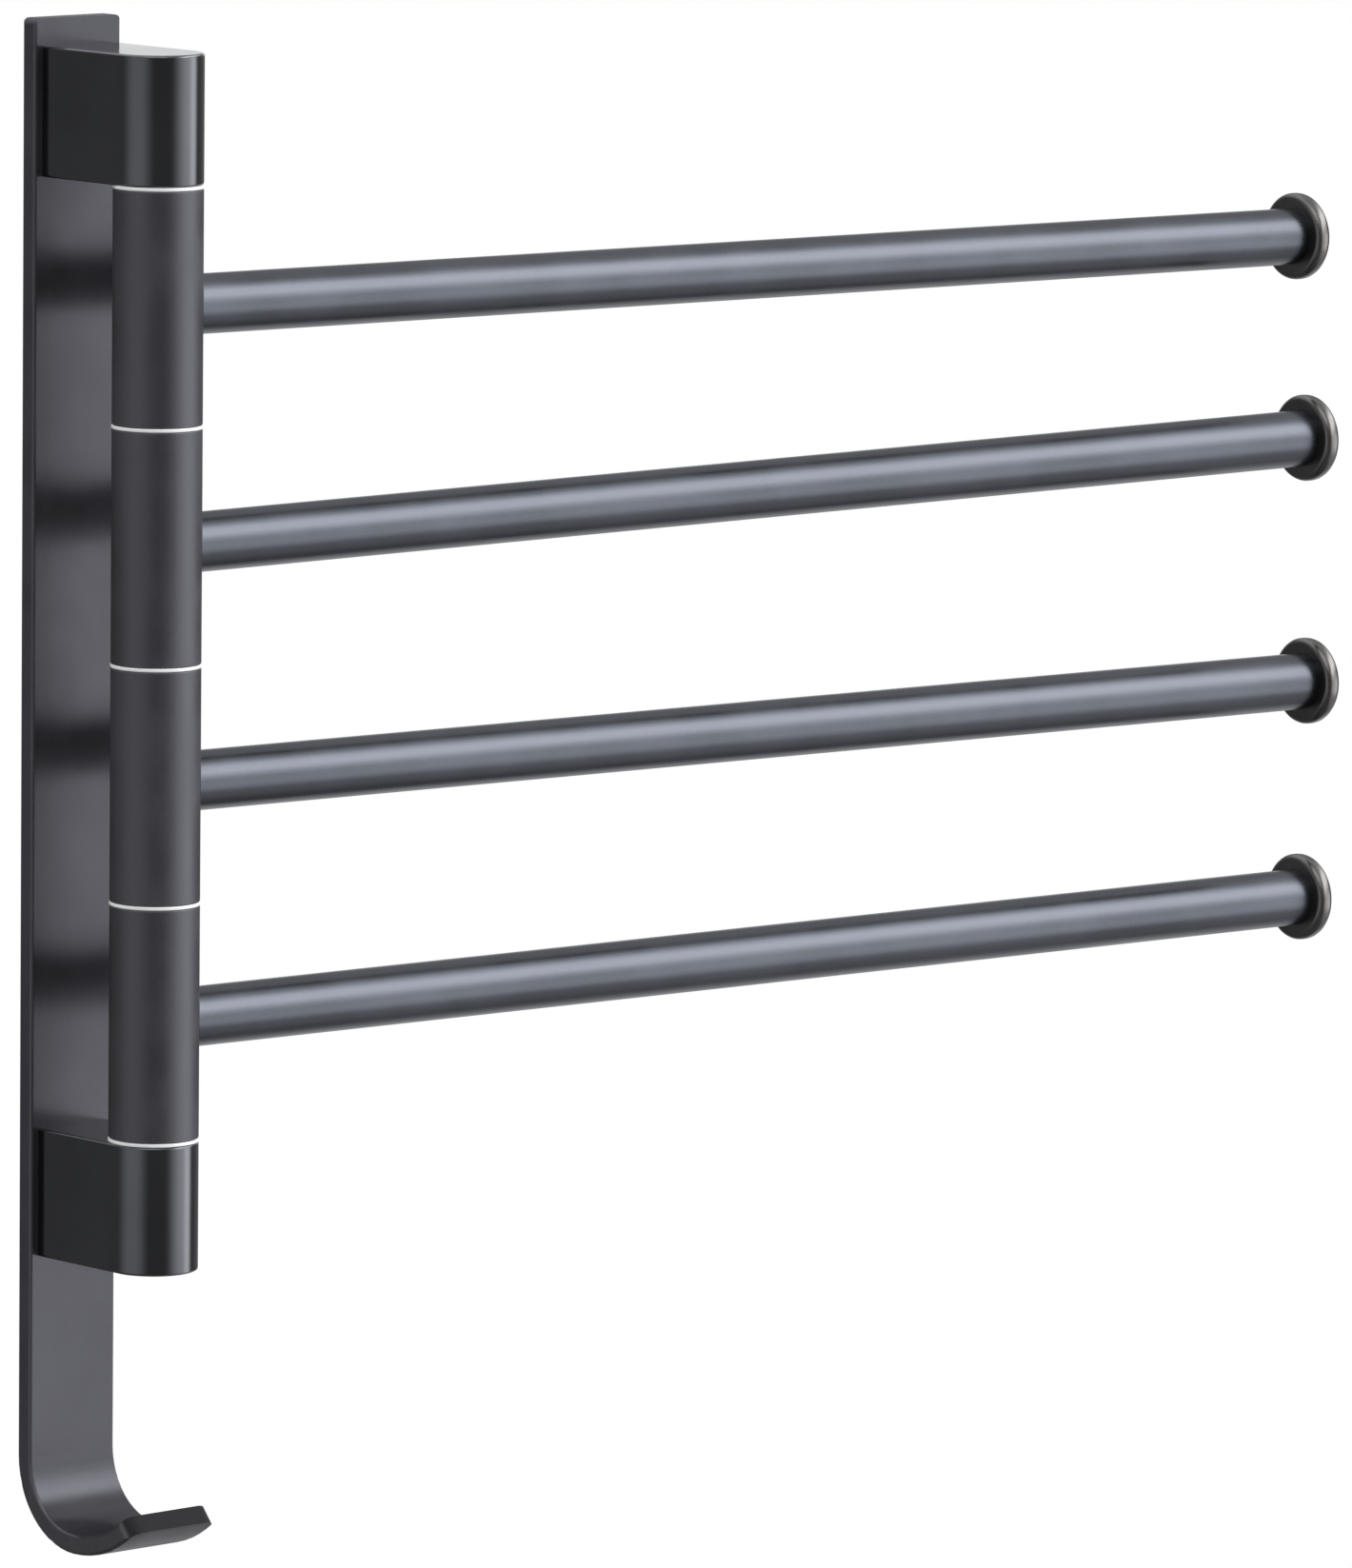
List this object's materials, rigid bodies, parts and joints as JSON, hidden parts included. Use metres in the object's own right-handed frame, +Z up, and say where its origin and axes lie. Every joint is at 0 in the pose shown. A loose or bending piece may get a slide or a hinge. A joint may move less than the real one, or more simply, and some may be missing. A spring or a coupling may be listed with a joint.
{
  "type": "swing arm towel rack",
  "caption": "Wall towel rack: flat plate bent into a hook at its foot, hollow brackets at each end of a vertical pivot, and round arms that each swing from wall to wall.",
  "frame": {"origin": "on the back of the plate, on its centre line, midway between the mouths of the two keyholes", "axes": "+Z up along the plate; +X along the wall to the right, the way the arms stand at rest; +Y into the wall"},
  "size_m": [0.3947, 0.0725, 0.3833],
  "materials": {
    "plate_satin_black": "satin",
    "bracket_gloss_black": "gloss",
    "barrel_satin_black": "satin",
    "arm_satin_grey": "satin",
    "cap_black": "satin",
    "white_washer": "satin",
    "bush_nylon": "matte",
    "plug_aluminium": "satin",
    "stainless": "satin",
    "zinc_steel": "satin"
  },
  "bodies": {
    "root": {"backplate": "plate_satin_black", "upper_bracket": "bracket_gloss_black", "lower_bracket": "bracket_gloss_black", "bracket_screws": "zinc_steel", "pivot_bolt": "stainless", "spring_washer": "stainless", "washer_1": "white_washer", "washer_2": "white_washer", "washer_3": "white_washer", "washer_4": "white_washer", "washer_5": "white_washer"},
    "arm_1": {"barrel_1": "barrel_satin_black", "upper_bush_1": "bush_nylon", "lower_bush_1": "bush_nylon", "arm_tube_1": "arm_satin_grey", "root_plug_1": "plug_aluminium", "arm_screw_1": "zinc_steel", "end_cap_1": "cap_black"},
    "arm_2": {"barrel_2": "barrel_satin_black", "upper_bush_2": "bush_nylon", "lower_bush_2": "bush_nylon", "arm_tube_2": "arm_satin_grey", "root_plug_2": "plug_aluminium", "arm_screw_2": "zinc_steel", "end_cap_2": "cap_black"},
    "arm_3": {"barrel_3": "barrel_satin_black", "upper_bush_3": "bush_nylon", "lower_bush_3": "bush_nylon", "arm_tube_3": "arm_satin_grey", "root_plug_3": "plug_aluminium", "arm_screw_3": "zinc_steel", "end_cap_3": "cap_black"},
    "arm_4": {"barrel_4": "barrel_satin_black", "upper_bush_4": "bush_nylon", "lower_bush_4": "bush_nylon", "arm_tube_4": "arm_satin_grey", "root_plug_4": "plug_aluminium", "arm_screw_4": "zinc_steel", "end_cap_4": "cap_black"}
  },
  "joints": [
    {"name": "swing_1", "type": "hinge", "parent": "root", "child": "arm_1", "pos_m": [0, -0.0365, 0.09185], "axis": [0, 0, 1], "range_deg": [-177.4, 2.6]},
    {"name": "swing_2", "type": "hinge", "parent": "root", "child": "arm_2", "pos_m": [0, -0.0365, 0.03245], "axis": [0, 0, 1], "range_deg": [-176.6, 3.4]},
    {"name": "swing_3", "type": "hinge", "parent": "root", "child": "arm_3", "pos_m": [0, -0.0365, -0.02695], "axis": [0, 0, 1], "range_deg": [-176.3, 3.7]},
    {"name": "swing_4", "type": "hinge", "parent": "root", "child": "arm_4", "pos_m": [0, -0.0365, -0.08635], "axis": [0, 0, 1], "range_deg": [-176.5, 3.5]}
  ]
}
